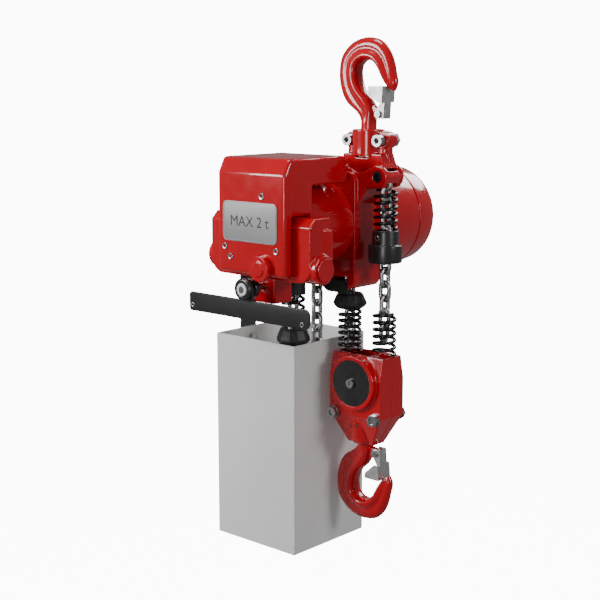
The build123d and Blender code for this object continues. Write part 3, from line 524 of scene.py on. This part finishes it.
# ---- load chain -----------------------------------------------------------------------------
# Hardened round-link chain, galvanised, brighter and duller in random clouds.
galvanised = metal("galvanised", (0.42, 0.42, 0.41), (0.68, 0.68, 0.66), 0.3, 700.0, 0.08)
finish_nodes(galvanised, "chain_steel", "fall_chain", "slack_chain", "wheel_chain", "sheave_chain")


def heap_of_links(count):
    """Small closed links in a loose pile: each link's middle follows a rosette that climbs
    slowly, and each is turned by a golden-angle step, so that they lie every way."""
    ring, tube = 14, 6
    bend_r, wire_r, half_straight = 8.0, 3.5, 6.0
    golden_angle, golden_share, tip_most, heap_r = 2.399963, 0.618034, 0.9, 54.0
    a = np.linspace(0, 2 * np.pi, ring, endpoint=False)
    b = np.linspace(0, 2 * np.pi, tube, endpoint=False)
    straight = half_straight * np.sign(np.sin(a))
    mid = np.stack([bend_r * np.cos(a), 0 * a, bend_r * np.sin(a) + straight], 1)
    out = np.stack([np.cos(a), 0 * a, np.sin(a)], 1)
    wire = np.cos(b)[None, :, None] * out[:, None] + np.sin(b)[None, :, None] * [0, 1.0, 0]
    link = (mid[:, None] + wire_r * wire).reshape(-1, 3)
    i, j = np.meshgrid(np.arange(ring), np.arange(tube), indexing="ij")
    i2, j2 = (i + 1) % ring, (j + 1) % tube
    quad = np.stack([i * tube + j, i2 * tube + j, i2 * tube + j2, i * tube + j2], -1).reshape(-1, 4)
    low, high = limits("stored_chain")
    points, faces = [], []
    for k in range(count):
        spin, tip = k * golden_angle, tip_most * math.sin(k * 1.7)
        c, s, ct, st = math.cos(spin), math.sin(spin), math.cos(tip), math.sin(tip)
        lay = link[:, [2, 0, 1]]
        lay = np.stack([lay[:, 0] * ct - lay[:, 2] * st, lay[:, 1], lay[:, 0] * st + lay[:, 2] * ct], 1)
        lay = np.stack([lay[:, 0] * c - lay[:, 1] * s, lay[:, 0] * s + lay[:, 1] * c, lay[:, 2]], 1)
        reach = heap_r * math.sqrt((k * golden_share) % 1.0)
        place = [(low[0] + high[0]) / 2 + reach * math.cos(k * 2.1),
                 (low[1] + high[1]) / 2 + reach * math.sin(k * 2.1),
                 low[2] + 14 + (high[2] - low[2] - 26) * k / count]
        points.append(lay + place)
        faces.append(quad + k * len(link))
    mesh = bpy.data.meshes.new("stored_links")
    mesh.from_pydata((np.concatenate(points) / 1000.0).tolist(), [], np.concatenate(faces).tolist())
    return mesh


show("stored_links", outward(heap_of_links(260)), "hoist", galvanised, "chain_steel", "stored_chain")

# ---- springs ----------------------------------------------------------------------------------
# Coiled spring wire, blackened and oiled, with a hard thin line of light along each turn.  The
# coil on the live fall is a copy with a mesh of its own, riding on the hook block.
black_wire = metal("blackened_wire", (0.035, 0.035, 0.036), (0.07, 0.07, 0.07), 0.24)
finish_nodes(black_wire, "spring_steel", "buffer_springs", "dead_lower_spring")
live_coil = show("live_coil", nodes["live_spring"].data.copy(), "hook_block", black_wire, "spring_steel",
                 "live_spring")
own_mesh(live_coil)

# ---- stop collar, brackets and pins -----------------------------------------------------------
# Turned bar and bent plate, blackened, a little glossier than the springs.
black_bar, tree, shader = finish_of("black_lacquer", {"Roughness": 0.3, "Specular IOR Level": 0.6})
tree.links.new(between(tree, noise(tree, 30.0, 3.0), 0.3, 0.75, (0.011, 0.011, 0.012), (0.018, 0.018, 0.019)),
               shader.inputs["Base Color"])
bump(tree, shader, noise(tree, 500.0, 3.0), 0.05, 0.0003)
finish_nodes(black_bar, "black_steel", "container_bracket", "tail_anchor", "hoist_pins")
bar = [(-190.5, -346), (-190.5, -375), (53, -375), (53, -346), (-56.4, -346), (-56.4, -320), (-80.4, -320),
       (-80.4, -346)]
lever_bar = prism("lever_bar", bar, [5, 5, 9, 9, 4, 11.5, 11.5, 4], (-195.0, -191.0), 0.6)
eyelet = [(2.0, -195.8), (3.6, -195.8), (3.6, -190.2), (2.0, -190.2)]
show("lever_bar", lever_bar, "control_lever", black_bar, "black_steel", "control_lever")
eyelets = [turned("eyelet", eyelet, 0.4, "y", spot, 32) for spot in ((-183.0, -366.0), (40.0, -368.5))]
show("lever_eyelets", joined("lever_eyelets", *eyelets), "control_lever", zinc, "zinc_steel")
low, high = limits("stop_collar")
collar_at = ((low[0] + high[0]) / 2, (low[1] + high[1]) / 2)
collar = [(12.5, low[2]), (25.5, low[2]), (25.5, -274), (20, -274), (20, high[2]), (12.5, high[2])]
collar_mesh = turned("stop_collar_turned", collar, [1.2, 1.8, 1.2, 1.5, 1.5, 1.2], "z", collar_at, 72)
show("stop_collar_turned", collar_mesh, "hoist", black_bar, "black_steel", "stop_collar", smooth_below=180.0)

# ---- rubber bumpers -----------------------------------------------------------------------------
# Moulded black rubber: a barrel with twelve flats round it, a collar above and a rolled foot.
rubber, tree, shader = finish_of("black_rubber", {"Roughness": 0.42, "Specular IOR Level": 0.4})
tree.links.new(between(tree, noise(tree, 90.0, 4.0), 0.35, 0.7, (0.012, 0.012, 0.012), (0.026, 0.026, 0.026)),
               shader.inputs["Base Color"])
bump(tree, shader, noise(tree, 600.0, 3.0), 0.08, 0.0004)


def bumper(name, node, body):
    """A barrel of twelve flats: each corner of the twelve-sided ring is a narrow bevel, two
    points a degree and a half to either side of it."""
    low, high = limits(node)
    at, height = (low + high) / 2, high[2] - low[2]
    share = np.array([0.0, 0.04, 0.24, 0.27, 0.38, 0.41, 0.9, 0.95, 1.0])
    reach = np.array([20.5, 21.6, 26.1, 26.4, 26.4, 26.2, 21.2, 20.2, 19.0])
    turn = (np.arange(12)[:, None] * np.pi / 6 + np.radians([-1.5, 1.5])).ravel()
    r = np.broadcast_to(np.concatenate([reach, [12.6, 12.6]]), (24, 11))
    z = np.concatenate([low[2] + share * height, [high[2], low[2]]])
    grid = np.stack([at[0] + r * np.cos(turn)[:, None], at[1] + r * np.sin(turn)[:, None],
                     np.broadcast_to(z, r.shape)], -1)
    barrel = outward(skin_mesh(name, grid, round_rows=True))
    show(name, barrel, body, rubber, "black_rubber", node, smooth_below=13.0)


bumper("live_bumper_moulding", "live_bumper", "live_bumper")
bumper("tail_bumper_moulding", "tail_bumper", "hoist")
finish_nodes(rubber, "black_rubber", "limit_lever")

# ---- lever knob and axle covers --------------------------------------------------------------
# Moulded black plastic with a soft shine; the knob is pinned on the shaft, with a pale cap.
plastic, tree, shader = finish_of("black_plastic", {"Roughness": 0.24, "Coat Weight": 0.2})
tree.links.new(between(tree, noise(tree, 60.0, 3.0), 0.35, 0.7, (0.010, 0.010, 0.010), (0.018, 0.018, 0.018)),
               shader.inputs["Base Color"])
bump(tree, shader, noise(tree, 500.0, 2.0), 0.04, 0.0003)
finish_nodes(plastic, "black_plastic", "axle_covers")
knob = [(5.6, -196.0), (16.5, -196.0), (16.5, -205.2), (10.4, -205.2), (9.6, -203.6), (5.6, -203.6)]
knob_back = [(5.6, -190.8), (15.5, -190.8), (15.5, -180.6), (5.6, -180.6)]
lever_axis = (-68.4, -329.0)
knob_mesh = joined("knob", turned("knob_front", knob, [0.3, 1.5, 4, 2, 0.3, 0.3], "y", lever_axis),
                   turned("knob_back", knob_back, [0.5, 1.5, 3, 0.5], "y", lever_axis))
show("knob_moulding", knob_mesh, "control_lever", plastic, "black_plastic", "lever_knob")
cap_white, tree, shader = finish_of("white_cap", {"Roughness": 0.3})
tree.links.new(between(tree, noise(tree, 80.0), 0.3, 0.7, (0.72, 0.72, 0.72), (0.8, 0.8, 0.8)),
               shader.inputs["Base Color"])
white_cap = [(0.2, -206.45), (9.3, -206.45), (9.3, -203.7), (0.2, -203.7)]
show("knob_cap", turned("knob_cap", white_cap, [0, 1.2, 0.2, 0], "y", lever_axis, 64), "control_lever",
     cap_white, "black_plastic")

# ---- chain container -----------------------------------------------------------------------
# Folded steel sheet box, open at the top, powder coated in a satin light grey with the fine
# even texture of powder.
powder, tree, shader = finish_of("grey_powder", {"Roughness": 0.5, "Specular IOR Level": 0.4})
tree.links.new(between(tree, noise(tree, 6.0, 3.0), 0.35, 0.7, (0.66, 0.66, 0.655), (0.72, 0.72, 0.715)),
               shader.inputs["Base Color"])
bump(tree, shader, noise(tree, 800.0, 3.0), 0.1, 0.0003)
finish_nodes(powder, "container_grey", "chain_container")

# ---- block nut housing and marking -------------------------------------------------------------
# A round housing about the hook's nut at the foot of the block, with the working load printed
# in black on its front.
nut_housing = [(0.2, -588), (21, -588), (25, -582), (27, -562), (27, -533), (0.2, -533)]
show("block_nut_housing", turned("block_nut_housing", nut_housing, [0, 3, 8, 12, 2, 0], "z", (0.0, 0.0)),
     "hook_block", red_paint, "red_paint")
lettering("block_text", "2 t", 18.0, -4.0, 0.0, -557.0, "hook_block", print_ink, "black_plastic", 27.1)
